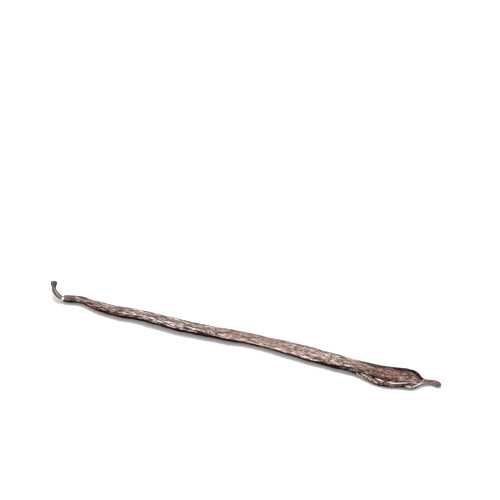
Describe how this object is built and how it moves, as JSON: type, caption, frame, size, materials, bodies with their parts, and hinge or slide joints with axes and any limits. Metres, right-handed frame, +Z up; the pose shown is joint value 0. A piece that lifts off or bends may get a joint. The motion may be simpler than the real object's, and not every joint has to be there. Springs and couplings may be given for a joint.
{
  "type": "vanilla pod",
  "caption": "Slender cured vanilla pod, dark brown and wrinkled along its length, with a hooked stalk that flares at its cut end and a flattened blossom end with a short blunt beak.",
  "frame": {"origin": "On the surface that the pod lies on, below the middle of the pod's box.", "axes": "+X from the cut stalk towards the blossom end with its beak, +Y towards the side that the stalk hooks to, +Z up from the surface that the pod lies on."},
  "size_m": [0.1672, 0.0102, 0.008],
  "materials": {
    "pod_skin": "cured, oily, finely wrinkled skin with a soft broken sheen"
  },
  "bodies": {
    "root": {"pod": "pod_skin"}
  },
  "joints": []
}
